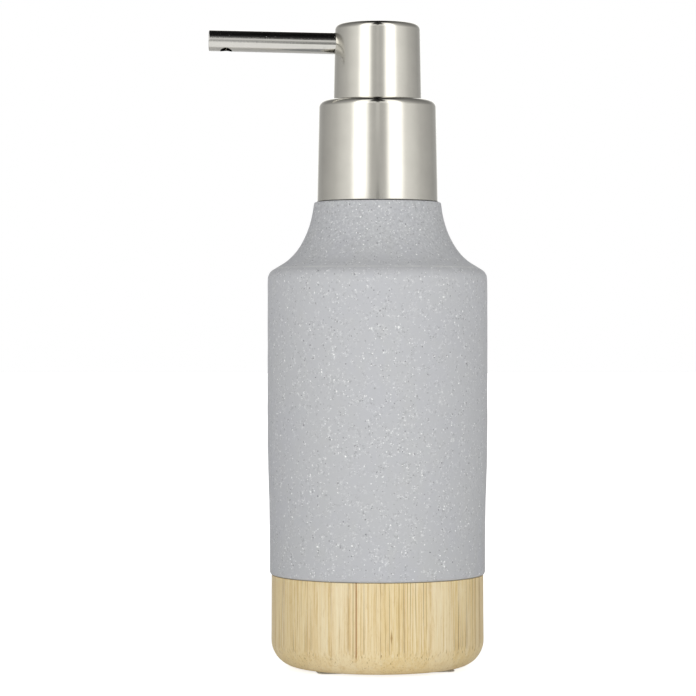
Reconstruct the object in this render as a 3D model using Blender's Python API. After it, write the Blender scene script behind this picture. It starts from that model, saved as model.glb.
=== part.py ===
"""Soap pump dispenser: a resin bottle on a bamboo base, with a screw-on metal lotion pump.

Heights and radii below are millimetres above the underside of the foot pad and from the pump's axis,
which is the world Z axis. Every object keeps its origin on that axis, where all the joints' axes lie,
except the spout's pieces, which are placed along their own tilted axis.
"""

import math

import bmesh
import bpy
from mathutils import Matrix, Vector

MM = 0.001
GAP = 0.3

# Foot pad and bamboo base
PAD_SIZE = (43.5, 32.0)
PAD_HEIGHT = 0.45
PAD_CORNER = 2.0
PAD_TURN = 8.0
PAD_OFFSET = 0.7
BASE_BOTTOM = 0.7
BASE_TOP = 29.9
BASE_R = 33.92
BASE_TOP_R = 33.8
BASE_EDGE = 8.4
RECESS_R = 29.1
RECESS_FLOOR = 22.2

# Bottle
BODY_BOTTOM = 30.2
BODY_TOP = 148.3
BODY_R = 35.0
BODY_LOW_R = 34.3
BODY_SWELL = (41.0, 75.0)
BODY_FOOT_EDGE = 1.6
SHOULDER_CENTRE = (35.68, 151.93)
SHOULDER_AXES = (15.63, 24.84)
SHOULDER_ANGLES = (68.5, 10.0)
SHOULDER_CORNER = (34.95, 125.8)
SHOULDER_EDGE = 3.5
WALL = 4.0
MOUTH_R = 14.3
MOUTH_LIP = 144.0
PLUG_R = 30.7
PLUG_TOP = 34.0

# Neck finish: 28 mm, six threads to the inch
PITCH = 25.4 / 6.0
THREAD_TURNS = 1.25
THREAD_START = 151.0
THREAD_HALF_BASE = 1.1
THREAD_HALF_CREST = 0.45
NECK_ROOT_R = 12.6
NECK_CREST_R = 13.75
NECK_BORE_R = 10.6
NECK_FLANGE_R = 17.0
NECK_RIM = 159.0
CAP_BORE_R = 14.05
CAP_CREST_R = 12.95

# Screw cap and its metal cover
CAP_TOP = 163.2
CAP_BOTTOM = 149.9
CAP_R = 18.2
COLLAR_BOTTOM = 148.6
COLLAR_TOP = 180.65
COLLAR_LOW_R = 19.31
COLLAR_TOP_R = 18.66
COLLAR_EDGE = 2.4
COLLAR_OPENING_R = 14.4
SHEET = 0.5

# Pump barrel
FLANGE_R = 13.2
FLANGE_BOTTOM = 160.3
FLANGE_TOP = 161.6
BARREL_R = 7.4
BARREL_BORE_R = 6.4
SPRING_LEDGE = 120.0
BALL_R = 2.5
BALL_Z = 115.25
BALL_CHAMBER_R = 3.3
SEAT_HOLE_R = 1.8
SEAT_BOTTOM = 113.3
SOCKET_BORE_R = 3.3
SOCKET_R = 4.4
SOCKET_BOTTOM = 100.0
DIP_TUBE_R = 3.0
DIP_TUBE_BORE_R = 2.0
DIP_TUBE_BOTTOM = 37.0

# Piston, rod, spring and stem
ROD_R = 2.1
ROD_SEAT = (143.0, 145.0)
ROD_TOP = 158.0
PISTON = (145.2, 151.2)
STEM_R = 3.6
STEM_BORE_R = 2.45
STEM_BOTTOM = 152.2
STEM_TOP = 190.6
WIRE_R = 0.45
SPRING_R = 3.95
SPRING_TURNS = 8

# Head and spout
HEAD_BOTTOM = 177.5
HEAD_TOP = 205.1
HEAD_LOW_R = 14.1
HEAD_TOP_R = 13.56
HEAD_EDGE = 2.0
CORE_R = 12.75
CORE_TOP = 204.25
CORE_BOTTOM = 186.0
SPOUT_TILT = 1.34
SPOUT_R = 3.42
SPOUT_BORE_R = 2.5
SPOUT_ROOT = 4.6
SPOUT_AXIS_Z = 198.68
SPOUT_TIP = 53.7
OUTLET_FROM_AXIS = 48.2
OUTLET_R = 1.9
OUTLET_TURN = 7.0

ROUND = 40
SMALL = 20


def linear(red, green, blue):
    """Linear colour from 0-255 display values."""
    return tuple((c / 255.0) ** 2.2 for c in (red, green, blue))


PALETTE = {
    "foam": (linear(176, 178, 180), 0.9, 0.0),
    "bamboo": (linear(216, 197, 156), 0.55, 0.0),
    "resin": (linear(192, 194, 196), 0.85, 0.0),
    "nickel": (linear(205, 202, 192), 0.28, 1.0),
    "steel": (linear(200, 200, 202), 0.2, 1.0),
    "white_plastic": (linear(236, 236, 232), 0.45, 0.0),
    "clear_plastic": (linear(225, 230, 230), 0.3, 0.0),
    "gasket": (linear(228, 226, 220), 0.8, 0.0),
    "piston_plastic": (linear(214, 220, 226), 0.5, 0.0),
}


def material(name):
    """The named entry of the palette as a Principled material of its own."""
    colour, roughness, metallic = PALETTE[name]
    made = bpy.data.materials.new(name)
    made.use_nodes = True
    shader = made.node_tree.nodes["Principled BSDF"]
    shader.inputs["Base Color"].default_value = (*colour, 1.0)
    shader.inputs["Roughness"].default_value = roughness
    shader.inputs["Metallic"].default_value = metallic
    return made


def place(name, bm, finish=None):
    """Turn a bmesh built in millimetres into an object in metres."""
    bmesh.ops.recalc_face_normals(bm, faces=bm.faces[:])
    bmesh.ops.scale(bm, vec=(MM, MM, MM), verts=bm.verts[:])
    mesh = bpy.data.meshes.new(name)
    bm.to_mesh(mesh)
    bm.free()
    mesh.shade_smooth()
    mesh.set_sharp_from_angle(angle=math.radians(35.0))
    obj = bpy.data.objects.new(name, mesh)
    bpy.context.scene.collection.objects.link(obj)
    if finish:
        mesh.materials.append(material(finish))
    return obj


def boolean(obj, cutter, operation):
    """Keep a live EXACT Boolean on obj, and hide the other shape as a guide."""
    modifier = obj.modifiers.new(operation.title() + "_" + cutter.name, "BOOLEAN")
    modifier.operation = operation
    modifier.solver = "EXACT"
    modifier.object = cutter
    cutter.hide_render = True
    cutter.display_type = "WIRE"


def rounded(corners, steps=3):
    """An outline from (r, z) or (r, z, fillet radius) corners, with its fillets as arcs."""
    outline = []
    for index, corner in enumerate(corners):
        point = Vector(corner[:2])
        if len(corner) < 3:
            outline.append(tuple(point))
            continue
        before = (Vector(corners[index - 1][:2]) - point).normalized()
        after = (Vector(corners[(index + 1) % len(corners)][:2]) - point).normalized()
        half = before.angle(after) / 2.0
        centre = point + (before + after).normalized() * (corner[2] / math.sin(half))
        first = point + before * (corner[2] / math.tan(half)) - centre
        last = point + after * (corner[2] / math.tan(half)) - centre
        sweep = first.angle_signed(last)
        for step in range(steps + 1):
            turned = Matrix.Rotation(-sweep * step / steps, 2) @ first
            outline.append(tuple(centre + turned))
    return outline


def lathe(name, outline, segments, finish=None):
    """Turn a closed (r, z) outline about the Z axis into one closed solid."""
    bm = bmesh.new()
    ring = [bm.verts.new((r, 0.0, z)) for r, z in outline]
    edges = [bm.edges.new((ring[i - 1], ring[i])) for i in range(len(ring))]
    bmesh.ops.spin(
        bm,
        geom=ring + edges,
        cent=(0, 0, 0),
        axis=(0, 0, 1),
        steps=segments,
        angle=math.tau,
        use_merge=True,
    )
    bmesh.ops.remove_doubles(bm, verts=bm.verts[:], dist=0.0001)
    bmesh.ops.dissolve_degenerate(bm, edges=bm.edges[:], dist=0.0001)
    return place(name, bm, finish)


def tube_outline(outer, inner, low, high):
    return [(inner, low), (outer, low), (outer, high), (inner, high)]


def rod_outline(radius, low, high):
    return [(0.0, low), (radius, low), (radius, high), (0.0, high)]


def cylinder(name, radius, start, end, segments=SMALL):
    """A hidden round cutter between two points."""
    start = Vector(start)
    run = Vector(end) - start
    cutter = lathe(name, rod_outline(radius, 0.0, run.length), segments)
    cutter.location = start * MM
    cutter.rotation_euler = Vector((0, 0, 1)).rotation_difference(run).to_euler()
    return cutter


def box(bm, low, high, turn=0.0):
    """Add a box to a bmesh, turned about Z in degrees."""
    size = Vector(high) - Vector(low)
    middle = (Vector(high) + Vector(low)) / 2.0
    shape = Matrix.Translation(middle) @ Matrix.Diagonal((*size, 1.0))
    bmesh.ops.create_cube(bm, size=1.0, matrix=Matrix.Rotation(math.radians(turn), 4, "Z") @ shape)


def coil(bm, section, centreline, steps):
    """Sweep a section, given as (radial, axial) offsets, along centreline(t) = (angle, r, z, scale)."""
    rings = []
    for step in range(steps + 1):
        angle, radius, height, scale = centreline(step / steps)
        ring = []
        for radial, axial in section:
            r = radius + radial * scale
            ring.append(bm.verts.new((r * math.cos(angle), r * math.sin(angle), height + axial * scale)))
        rings.append(ring)
    for near, far in zip(rings, rings[1:]):
        for i in range(len(section)):
            bm.faces.new((near[i - 1], near[i], far[i], far[i - 1]))
    bm.faces.new(rings[0])
    bm.faces.new(rings[-1])


def thread(name, wall_r, crest_r, start_turn):
    """A right-hand thread ridge, rooted in the wall and running out at both ends."""
    inward = 1.0 if crest_r > wall_r else -1.0
    depth = abs(crest_r - wall_r)
    root = -0.4
    section = [
        (inward * root, -THREAD_HALF_BASE),
        (inward * depth, -THREAD_HALF_CREST),
        (inward * depth, THREAD_HALF_CREST),
        (inward * root, THREAD_HALF_BASE),
    ]
    run_out = 0.08

    def centreline(t):
        angle = math.tau * (start_turn + THREAD_TURNS * t)
        scale = min(1.0, 0.2 + 0.8 * min(t, 1.0 - t) / run_out)
        return angle, wall_r, THREAD_START + PITCH * THREAD_TURNS * t, scale

    bm = bmesh.new()
    coil(bm, section, centreline, 30)
    return place(name, bm)


def shoulder(inset, angles, steps):
    """Points down the concave shoulder, an elliptical arc, moved inwards by a wall's thickness."""
    (centre_r, centre_z), (half_r, half_z) = SHOULDER_CENTRE, SHOULDER_AXES
    points = []
    for step in range(steps + 1):
        angle = math.radians(angles[0] + (angles[1] - angles[0]) * step / steps)
        r = centre_r - inset - half_r * math.cos(angle)
        z = centre_z - inset - half_z * math.sin(angle)
        points.append((r, z))
    return points


def body_radius(z):
    """The bottle's side swells gently above its foot."""
    low, high = BODY_SWELL
    t = min(1.0, max(0.0, (z - low) / (high - low)))
    return BODY_LOW_R + (BODY_R - BODY_LOW_R) * t * t * (3.0 - 2.0 * t)


def foot_pad():
    bm = bmesh.new()
    half_x, half_y = PAD_SIZE[0] / 2.0, PAD_SIZE[1] / 2.0
    box(bm, (-half_x, -half_y, 0.0), (half_x, half_y, PAD_HEIGHT), PAD_TURN)
    upright = [e for e in bm.edges if abs(e.verts[0].co.z - e.verts[1].co.z) > PAD_HEIGHT / 2.0]
    bmesh.ops.bevel(bm, geom=upright, offset=PAD_CORNER, segments=3, affect="EDGES", profile=0.5)
    bmesh.ops.translate(bm, vec=(PAD_OFFSET, 0.0, 0.0), verts=bm.verts[:])
    return place("foot_pad", bm, "foam")


def bamboo_base():
    outline = rounded([
        (0.0, BASE_BOTTOM),
        (BASE_R, BASE_BOTTOM, BASE_EDGE),
        (BASE_TOP_R, BASE_TOP, 0.4),
        (RECESS_R, BASE_TOP),
        (RECESS_R, RECESS_FLOOR),
        (0.0, RECESS_FLOOR),
    ], steps=4)
    return lathe("bamboo_base", outline, ROUND, "bamboo")


def bottom_plug():
    """Closes the bottle; its lower ring is glued into the base's recess."""
    skirt_bottom = RECESS_FLOOR + GAP
    outline = [
        (0.0, PLUG_TOP - 2.5),
        (25.8, PLUG_TOP - 2.5),
        (25.8, skirt_bottom),
        (RECESS_R - GAP, skirt_bottom),
        (RECESS_R - GAP, BODY_BOTTOM),
        (PLUG_R, BODY_BOTTOM),
        (PLUG_R, PLUG_TOP),
        (0.0, PLUG_TOP),
    ]
    return lathe("bottom_plug", outline, ROUND, "white_plastic")


def body_shell():
    inner_r = BODY_R - WALL
    outer = [(inner_r, BODY_BOTTOM), (BODY_LOW_R, BODY_BOTTOM, BODY_FOOT_EDGE)]
    outer += [(body_radius(z), z) for z in (41.0, 50.0, 58.0, 66.0, 76.0)]
    outer += [(*SHOULDER_CORNER, SHOULDER_EDGE)]
    outer += shoulder(0.0, SHOULDER_ANGLES, 6)[:-1]
    inner = [
        (SHOULDER_CENTRE[0] - SHOULDER_AXES[0] + 0.1, BODY_TOP, 0.6),
        (MOUTH_R, BODY_TOP),
        (MOUTH_R, MOUTH_LIP),
    ]
    inner += reversed(shoulder(WALL, (72.0, 10.0), 5))
    inner += [(inner_r, 119.0)]
    return lathe("body_shell", rounded(outer + inner, steps=3), ROUND, "resin")


def neck_insert():
    sleeve_r = MOUTH_R - GAP
    outline = [
        (NECK_BORE_R, 139.0),
        (sleeve_r, 139.0),
        (sleeve_r, BODY_TOP + GAP),
        (NECK_FLANGE_R, BODY_TOP + GAP),
        (NECK_FLANGE_R, CAP_BOTTOM - 0.4),
        (NECK_ROOT_R, CAP_BOTTOM - 0.4),
        (NECK_ROOT_R, NECK_RIM),
        (NECK_BORE_R, NECK_RIM),
    ]
    neck = lathe("neck_insert", outline, ROUND, "white_plastic")
    boolean(neck, thread("neck_thread", NECK_ROOT_R, NECK_CREST_R, 0.0), "UNION")
    return neck


def pump_cylinder():
    outline = [
        (BARREL_BORE_R, SPRING_LEDGE),
        (BALL_CHAMBER_R, SPRING_LEDGE),
        (BALL_CHAMBER_R, SEAT_BOTTOM + BALL_CHAMBER_R - SEAT_HOLE_R),
        (SEAT_HOLE_R, SEAT_BOTTOM),
        (SEAT_HOLE_R, SEAT_BOTTOM - 0.9),
        (SOCKET_BORE_R, SEAT_BOTTOM - 0.9),
        (SOCKET_BORE_R, SOCKET_BOTTOM),
        (SOCKET_R, SOCKET_BOTTOM),
        (SOCKET_R, SEAT_BOTTOM),
        (BARREL_R, SPRING_LEDGE - 1.5),
        (BARREL_R, FLANGE_BOTTOM),
        (FLANGE_R, FLANGE_BOTTOM),
        (FLANGE_R, FLANGE_TOP),
        (BARREL_BORE_R, FLANGE_TOP),
    ]
    barrel = lathe("pump_cylinder", outline, 24, "clear_plastic")
    bm = bmesh.new()
    for turn in (30.0, 150.0, 270.0):
        box(bm, (1.9, -0.5, SPRING_LEDGE - 1.0), (BALL_CHAMBER_R + 0.8, 0.5, SPRING_LEDGE - 0.2), turn)
    boolean(barrel, place("ball_nibs", bm), "UNION")
    vent = cylinder("vent_hole", 0.6, (0.0, BARREL_BORE_R - 1.0, 157.0), (0.0, BARREL_R + 1.0, 157.0), 10)
    boolean(barrel, vent, "DIFFERENCE")
    return barrel


def neck_gasket():
    return lathe("neck_gasket", tube_outline(13.4, 8.2, NECK_RIM + 0.2, FLANGE_BOTTOM - 0.2), 32, "gasket")


def chaplet():
    """Guides the stem; its lower end is the stem's upper stop."""
    outline = [
        (STEM_R + GAP, STEM_BOTTOM + 2.7),
        (BARREL_BORE_R - GAP, STEM_BOTTOM + 2.7),
        (BARREL_BORE_R - GAP, FLANGE_TOP + GAP),
        (8.4, FLANGE_TOP + GAP),
        (8.4, CAP_TOP + 1.1),
        (STEM_R + GAP, CAP_TOP + 1.1),
    ]
    return lathe("chaplet", outline, 24, "white_plastic")


def dip_tube():
    """The suction tube, cut at a slant so that it can't seal on the bottle's floor."""
    top = SEAT_BOTTOM - 0.9 - GAP
    tube = lathe("dip_tube", tube_outline(DIP_TUBE_R, DIP_TUBE_BORE_R, DIP_TUBE_BOTTOM, top), 16,
                 "clear_plastic")
    for vertex in tube.data.vertices:
        if vertex.co.z < (DIP_TUBE_BOTTOM + 1.0) * MM:
            vertex.co.z += (vertex.co.x + DIP_TUBE_R * MM) * 0.5
    return tube


def return_spring():
    """A compression spring with a closed coil at each end."""
    low = SPRING_LEDGE + 0.2 + WIRE_R
    high = ROD_SEAT[0] - GAP - WIRE_R
    closed = 2.2 * WIRE_R

    def centreline(t):
        turns = SPRING_TURNS * t
        open_turns = SPRING_TURNS - 2
        lead = (high - low - 2.0 * closed) / open_turns
        middle = min(max(turns - 1.0, 0.0), open_turns)
        ends = min(turns, 1.0) + max(turns - 1.0 - open_turns, 0.0)
        return math.tau * turns, SPRING_R, low + ends * closed + middle * lead, 1.0

    corners = 6
    section = [
        (WIRE_R * math.cos(math.tau * i / corners), WIRE_R * math.sin(math.tau * i / corners))
        for i in range(corners)
    ]
    bm = bmesh.new()
    coil(bm, section, centreline, SPRING_TURNS * 12)
    return place("return_spring", bm, "steel")


def piston_rod():
    """The spring's seat below, the piston's lower seat above it, and a fluted shank in the stem."""
    low, high = ROD_SEAT
    outline = [
        (0.0, low - 3.0),
        (2.4, low - 3.0),
        (3.0, low - 2.4),
        (3.0, low),
        (5.0, low),
        (5.0, high - 0.6),
        (4.0, high),
        (ROD_R, high),
        (ROD_R, ROD_TOP - 0.8),
        (ROD_R - 0.6, ROD_TOP),
        (0.0, ROD_TOP),
    ]
    rod = lathe("piston_rod", outline, 18, "white_plastic")
    for index in range(3):
        angle = math.tau * (index + 0.5) / 3.0
        centre = Vector((math.cos(angle), math.sin(angle), 0.0)) * (ROD_R + 0.15)
        flute = cylinder("flute_%d" % index, 0.6, centre + Vector((0, 0, high + 1.0)),
                         centre + Vector((0, 0, ROD_TOP + 1.0)), 8)
        boolean(rod, flute, "DIFFERENCE")
    return rod


def piston():
    """A soft sleeve with a lip at each end that seals on the barrel."""
    low, high = PISTON
    lip_r = BARREL_BORE_R - 0.15
    outline = [
        (2.35, low),
        (4.0, low),
        (4.4, low + 1.6),
        (lip_r - 0.5, low + 0.2),
        (lip_r, low + 0.2),
        (lip_r - 0.4, low + 2.6),
        (lip_r - 0.4, high - 2.6),
        (lip_r, high - 0.8),
        (lip_r - 0.5, high - 0.8),
        (4.2, high - 2.0),
        (3.6, high),
        (2.35, high),
    ]
    return lathe("piston", outline, 24, "piston_plastic")


def stem():
    outline = [
        (STEM_BORE_R, STEM_BOTTOM),
        (4.6, STEM_BOTTOM),
        (4.6, STEM_BOTTOM + 2.4),
        (STEM_R, STEM_BOTTOM + 2.4),
        (STEM_R, STEM_TOP),
        (STEM_BORE_R, STEM_TOP),
    ]
    return lathe("stem", outline, SMALL, "white_plastic")


def inlet_ball():
    bm = bmesh.new()
    bmesh.ops.create_uvsphere(bm, u_segments=14, v_segments=8, radius=BALL_R)
    bmesh.ops.translate(bm, vec=(0.0, 0.0, BALL_Z), verts=bm.verts[:])
    return place("inlet_ball", bm, "steel")


def closure_cap():
    skirt_inner = CAP_R - 1.1
    inner_skirt_r = 15.6
    outline = [
        (9.0, CAP_TOP),
        (9.0, FLANGE_TOP + 0.2),
        (CAP_BORE_R, FLANGE_TOP + 0.2),
        (CAP_BORE_R, CAP_BOTTOM + 0.3),
        (inner_skirt_r, CAP_BOTTOM + 0.3),
        (inner_skirt_r, CAP_TOP - 2.0),
        (skirt_inner, CAP_TOP - 2.0),
        (skirt_inner, CAP_BOTTOM),
        (CAP_R, CAP_BOTTOM),
        (CAP_R, CAP_TOP, 0.6),
    ]
    cap = lathe("closure_cap", rounded(outline, steps=2), ROUND, "white_plastic")
    boolean(cap, thread("cap_thread", CAP_BORE_R, CAP_CREST_R, 0.5), "UNION")
    return cap


def shell_outline(low, high, low_r, high_r, edge, hole_r):
    """A sheet-metal cup, open below, whose flat top has a round hole, or none where hole_r is 0."""
    return rounded([
        (hole_r, high - SHEET),
        (high_r - SHEET, high - SHEET, edge - SHEET),
        (low_r - SHEET, low),
        (low_r, low),
        (high_r, high, edge),
        (hole_r, high),
    ], steps=3)


def collar_shell():
    outline = shell_outline(COLLAR_BOTTOM, COLLAR_TOP, COLLAR_LOW_R, COLLAR_TOP_R, COLLAR_EDGE,
                            COLLAR_OPENING_R)
    return lathe("collar_shell", outline, ROUND, "nickel")


def spout_point(distance):
    """A point on the spout's tilted axis, at a horizontal distance from the pump's axis."""
    return Vector((-distance, 0.0, SPOUT_AXIS_Z + distance * math.tan(math.radians(SPOUT_TILT))))


def head_shell():
    outline = shell_outline(HEAD_BOTTOM, HEAD_TOP, HEAD_LOW_R, HEAD_TOP_R, HEAD_EDGE, 0.0)
    shell = lathe("head_shell", outline, ROUND, "nickel")
    hole = cylinder("spout_hole", SPOUT_R + 0.25, spout_point(10.0), spout_point(18.0), 24)
    boolean(shell, hole, "DIFFERENCE")
    return shell


def actuator_insert():
    """The head's plastic core: a cup with a boss for the stem and a cross boss for the spout."""
    boss_r = 5.6
    outline = [
        (0.0, CORE_TOP),
        (CORE_R, CORE_TOP, 1.45),
        (CORE_R, CORE_BOTTOM),
        (CORE_R - 1.3, CORE_BOTTOM),
        (CORE_R - 1.3, CORE_TOP - 1.6),
        (boss_r, CORE_TOP - 1.6),
        (boss_r, 179.0),
        (0.0, 179.0),
    ]
    core = lathe("actuator_insert", rounded(outline, steps=2), 32, "white_plastic")
    boss = cylinder("spout_boss", 4.9, spout_point(0.0), spout_point(CORE_R - 0.8), 20)
    boolean(core, boss, "UNION")
    bm = bmesh.new()
    for turn in (-60.0, 0.0, 60.0):
        box(bm, (boss_r - 0.6, -0.6, CORE_BOTTOM + 4.0), (CORE_R - 0.7, 0.6, CORE_TOP - 1.0), turn)
    boolean(core, place("core_ribs", bm), "UNION")
    cuts = [
        cylinder("stem_socket", STEM_R + 0.2, (0, 0, 178.0), (0, 0, STEM_TOP + GAP)),
        cylinder("riser", 2.0, (0, 0, STEM_TOP - 1.0), (0, 0, SPOUT_AXIS_Z + 1.0), 14),
        cylinder("cross_channel", 2.1, spout_point(-1.5), spout_point(SPOUT_ROOT), 14),
        cylinder("spout_socket", SPOUT_R + 0.2, spout_point(SPOUT_ROOT - GAP), spout_point(18.0)),
    ]
    for cut in cuts:
        boolean(core, cut, "DIFFERENCE")
    return core


def along_spout(obj, distance):
    """Stand a lathed piece on the spout's axis, pointing outwards from the head."""
    obj.location = spout_point(distance) * MM
    obj.rotation_euler = (0.0, math.radians(SPOUT_TILT - 90.0), 0.0)
    return obj


def spout_tube():
    length = (SPOUT_TIP - SPOUT_ROOT) / math.cos(math.radians(SPOUT_TILT))
    outline = tube_outline(SPOUT_R, SPOUT_BORE_R, 0.0, length)
    tube = along_spout(lathe("spout_tube", outline, 24, "nickel"), SPOUT_ROOT)
    centre = spout_point(OUTLET_FROM_AXIS)
    turn = math.radians(OUTLET_TURN)
    down = Vector((0.0, -math.sin(turn), -math.cos(turn)))
    outlet = cylinder("outlet_hole", OUTLET_R, centre + down * 6.0, centre, 16)
    boolean(tube, outlet, "DIFFERENCE")
    return tube


def spout_end_plug():
    plug = lathe("spout_end_plug", rod_outline(SPOUT_BORE_R - 0.15, 0.0, 1.5), 20, "nickel")
    return along_spout(plug, SPOUT_TIP - 1.75)


def body(name, pieces, parent=None):
    """An empty on the pump's axis that carries the pieces which move as one."""
    empty = bpy.data.objects.new(name, None)
    empty.empty_display_size = 0.02
    bpy.context.scene.collection.objects.link(empty)
    empty.parent = parent
    for piece in pieces:
        piece.parent = empty
    return empty


def main():
    for obj in list(bpy.data.objects):
        bpy.data.objects.remove(obj, do_unlink=True)

    bottle = body("bottle_body", [foot_pad(), bamboo_base(), bottom_plug(), body_shell(), neck_insert()])
    pump_pieces = [pump_cylinder(), chaplet(), neck_gasket(), dip_tube(), return_spring()]
    pump = body("pump_body", pump_pieces, bottle)
    body("collar_body", [closure_cap(), collar_shell()], pump)
    body("inlet_ball_body", [inlet_ball()], pump)
    rod = body("rod_body", [piston_rod()], pump)
    body("piston_body", [piston()], rod)
    body("head_body", [stem(), actuator_insert(), head_shell(), spout_tube(), spout_end_plug()], rod)
    bpy.context.view_layer.update()


main()
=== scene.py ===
"""The soap pump dispenser's visual model: turned pieces with fine profiles, and procedural materials.

Outlines are given in millimetres as (radius, height) about the pump's axis, which is the world Z axis.
"""
import math

import bmesh
import bpy
from mathutils import Matrix, Vector, noise


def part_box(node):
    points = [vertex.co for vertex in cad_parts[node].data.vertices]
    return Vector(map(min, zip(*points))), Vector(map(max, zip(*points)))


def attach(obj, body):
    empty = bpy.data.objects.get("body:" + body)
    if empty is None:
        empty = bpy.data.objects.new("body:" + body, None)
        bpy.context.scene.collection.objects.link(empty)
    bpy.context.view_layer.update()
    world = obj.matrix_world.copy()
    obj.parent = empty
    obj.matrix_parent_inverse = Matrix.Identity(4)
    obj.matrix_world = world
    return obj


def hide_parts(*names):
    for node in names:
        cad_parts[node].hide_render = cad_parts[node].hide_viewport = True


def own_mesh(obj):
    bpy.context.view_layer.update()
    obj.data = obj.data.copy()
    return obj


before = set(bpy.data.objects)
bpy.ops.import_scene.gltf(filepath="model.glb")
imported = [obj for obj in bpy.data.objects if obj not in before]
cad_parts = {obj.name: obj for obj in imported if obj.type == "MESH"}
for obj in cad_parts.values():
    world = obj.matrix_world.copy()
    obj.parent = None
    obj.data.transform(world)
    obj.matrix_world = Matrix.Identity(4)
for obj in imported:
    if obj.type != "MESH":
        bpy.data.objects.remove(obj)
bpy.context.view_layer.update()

MM = 0.001

# Facets round a turned piece, and the angle in degrees past which an edge is left sharp
FINE_AROUND = 256
AROUND = 192
SMALL_AROUND = 96
TINY_AROUND = 64
SHARP = 35.0


def low_z(node):
    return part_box(node)[0][2] / MM


def high_z(node):
    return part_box(node)[1][2] / MM


def width_r(node):
    """A turned node's outer radius, from its width along Y, which its facets reach at a corner."""
    low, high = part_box(node)
    return (high[1] - low[1]) / 2.0 / MM


# --------------------------------------------------------------------------------------------------
# Driving dimensions, in millimetres, with angles in degrees where they end in TURN
# --------------------------------------------------------------------------------------------------

# The pad and the bamboo base
PAD_SIZE = (43.5, 32.0)
PAD_TURN = 8.0
BASE_EDGE = 8.4
BASE_TAPER = 0.12
RECESS_R = 29.1
RECESS_DEPTH = 7.7
STRIP = 7.525
STRIP_DEPTH = 24.0
STRIP_JOINT = -6.9
SECOND_JOINT = -7.85
# Tones of the ten front strips, left to right; the palest, fourth from the left, is partly a painted
# highlight of the left tall light.
FRONT_STRIP_TONES_AND_HIGHLIGHT = (0.85, 0.8, 0.4, 0.05, 0.35, 0.85, 0.8, 0.25, 1.0, 1.0)
SCAR = (4.0, 12.9)

# The resin bottle
BODY_R = width_r("body_shell")
BODY_LOW_R = BODY_R - 0.7
BODY_SWELL = (41.0, 75.0)
BODY_BOTTOM = low_z("body_shell")
BODY_TOP = high_z("body_shell")
BODY_FOOT_EDGE = 1.0
JOINT_DROP = 0.35
BODY_FOOT = BODY_BOTTOM - JOINT_DROP
SHOULDER_CENTRE = (BODY_R + 0.68, BODY_TOP + 3.63)
SHOULDER_AXES = (15.63, 24.84)
SHOULDER_END = 68.5
RIDGE = (BODY_R - 0.05, 125.8)
RIDGE_EDGE = 3.5
WALL = 4.0
MOUTH_R = 14.3

# Plated covers, neck and thread
SHEET = 0.5
SEAM = 0.2
NECK_R = 12.6
NECK_BORE_R = 10.6
NECK_BOTTOM = 149.5
COLLAR_EDGE = 2.4
COLLAR_TAPER = 0.65
COLLAR_LIFT = 0.12
COLLAR_HOLE_R = 14.4
CAP_BORE_R = 14.05
HEAD_EDGE = 2.0
HEAD_TAPER = 0.54
PITCH = 25.4 / 6.0
THREAD_TURNS = 1.25
THREAD_START = 151.0

# The pump
FLANGE_TOP = 161.6
BARREL_R = 7.4
BARREL_BORE_R = 6.4
SPRING_LEDGE = 120.0
SPRING_R = 3.95
SPRING_WIRE_R = 0.45
SEAT_BOTTOM = 113.3

# The spout
SPOUT_TILT = math.radians(1.34)
SPOUT_AXIS_Z = 198.68
SPOUT_R = 3.36
SPOUT_ROOT_R = 3.47
SPOUT_BORE_R = 2.5
SPOUT_ROOT = 4.6
SPOUT_TIP = 53.7
OUTLET_FROM_AXIS = 48.2
OUTLET_R = 1.9
OUTLET_TURN = 11.0

# The studio: brightness levels, the lens in millimetres, and the camera's place in metres
STUDIO_LEVEL = 1.9
FLOOR_SEEN = 0.76
LENS_MM = 147.4
SENSOR_MM = 36.0
CAMERA_AT = (-0.0094, -0.909, 0.108)
CAMERA_DOWN = math.radians(0.385)


# --------------------------------------------------------------------------------------------------
# Shapes
# --------------------------------------------------------------------------------------------------

def rounded(corners, steps=6):
    """An outline from (r, z) or (r, z, fillet radius) corners, with its fillets as arcs."""
    outline = []
    for index, corner in enumerate(corners):
        point = Vector(corner[:2])
        if len(corner) < 3:
            outline.append(tuple(point))
            continue
        before = (Vector(corners[index - 1][:2]) - point).normalized()
        after = (Vector(corners[(index + 1) % len(corners)][:2]) - point).normalized()
        half = before.angle(after) / 2.0
        centre = point + (before + after).normalized() * (corner[2] / math.sin(half))
        first = point + before * (corner[2] / math.tan(half)) - centre
        last = point + after * (corner[2] / math.tan(half)) - centre
        sweep = first.angle_signed(last)
        for step in range(steps + 1):
            outline.append(tuple(centre + Matrix.Rotation(-sweep * step / steps, 2) @ first))
    return outline


def between(start, end, spacing):
    """Evenly spaced points from start up to, but not including, end."""
    start, end = Vector(start), Vector(end)
    count = max(1, round((end - start).length / spacing))
    return [tuple(start.lerp(end, i / count)) for i in range(count)]


def place(name, bm, sharp=SHARP):
    """Turn a bmesh built in millimetres into an object in metres."""
    bmesh.ops.recalc_face_normals(bm, faces=bm.faces[:])
    bmesh.ops.scale(bm, vec=(MM, MM, MM), verts=bm.verts[:])
    mesh = bpy.data.meshes.new(name)
    bm.to_mesh(mesh)
    bm.free()
    mesh.shade_smooth()
    mesh.set_sharp_from_angle(angle=math.radians(sharp))
    obj = bpy.data.objects.new(name, mesh)
    bpy.context.scene.collection.objects.link(obj)
    return obj


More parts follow.
